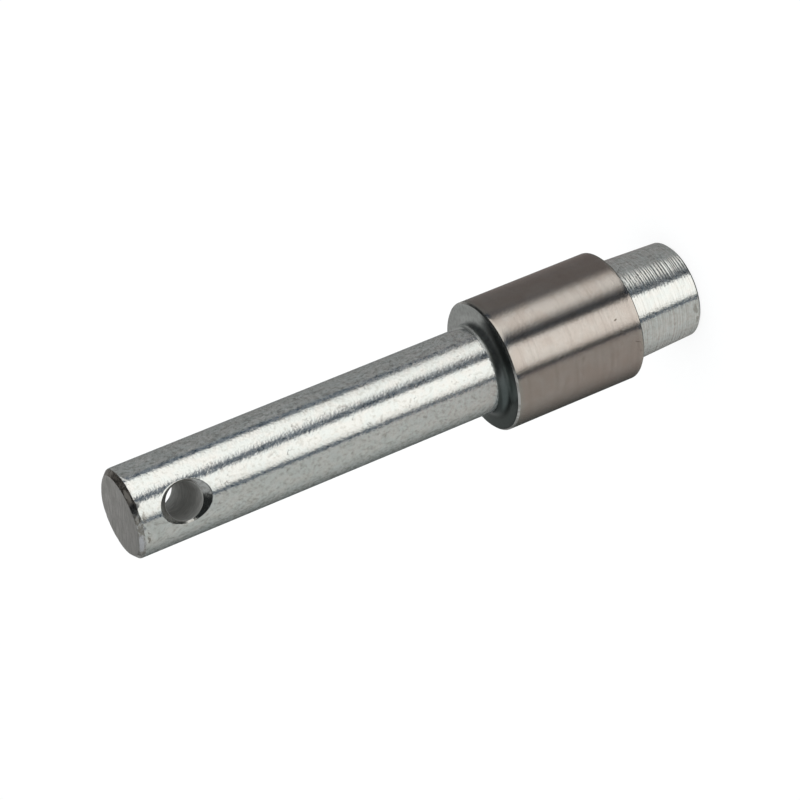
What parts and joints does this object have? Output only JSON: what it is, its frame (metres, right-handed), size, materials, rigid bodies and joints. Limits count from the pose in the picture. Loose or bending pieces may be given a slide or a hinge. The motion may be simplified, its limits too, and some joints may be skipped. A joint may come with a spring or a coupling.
{
  "type": "locking pin",
  "caption": "Stepped steel locking pin: a long plain shaft with a countersunk cross hole near its tip, a thicker ground collar with a shoulder, and a short tapered head.",
  "frame": {"origin": "centre of the head's end face, on which the pin stands", "axes": "+Z along the pin's axis, from the end of the head to the drilled tip; Y along the cross hole"},
  "size_m": [0.03, 0.03, 0.14],
  "materials": {
    "plated_steel": "bright zinc plating with fine handling scratches; the outside of the collar is ground to bare steel, a warm satin grey"
  },
  "bodies": {
    "root": {"locking_pin": "plated_steel"}
  },
  "joints": []
}
